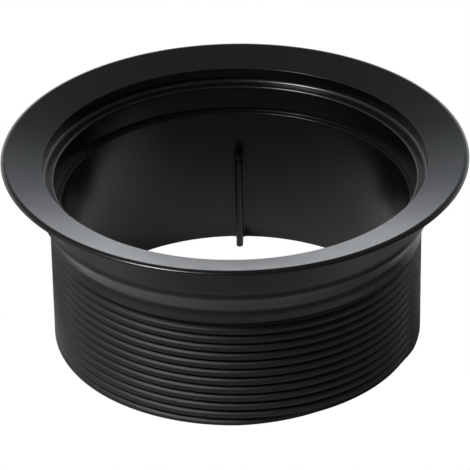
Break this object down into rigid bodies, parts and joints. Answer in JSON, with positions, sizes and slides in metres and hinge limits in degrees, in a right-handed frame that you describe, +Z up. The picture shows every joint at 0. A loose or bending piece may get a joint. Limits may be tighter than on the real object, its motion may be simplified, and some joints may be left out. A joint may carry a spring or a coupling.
{
  "type": "sink flange",
  "caption": "Threaded sink flange of a kitchen waste disposer: a dished round rim, a stepped opening, a coned neck and a threaded sleeve with one rib down its bore, moulded in one piece.",
  "frame": {"origin": "centre of the sleeve's flat bottom edge, which the part stands on", "axes": "+Z up along the sleeve's axis towards the rim, +Y towards the rib down the back of the bore, +X to the right as seen from the front"},
  "size_m": [0.1066, 0.1066, 0.0464],
  "materials": {
    "black_plastic": "satin black moulded plastic"
  },
  "bodies": {
    "root": {"sink_flange": "black_plastic"}
  },
  "joints": []
}
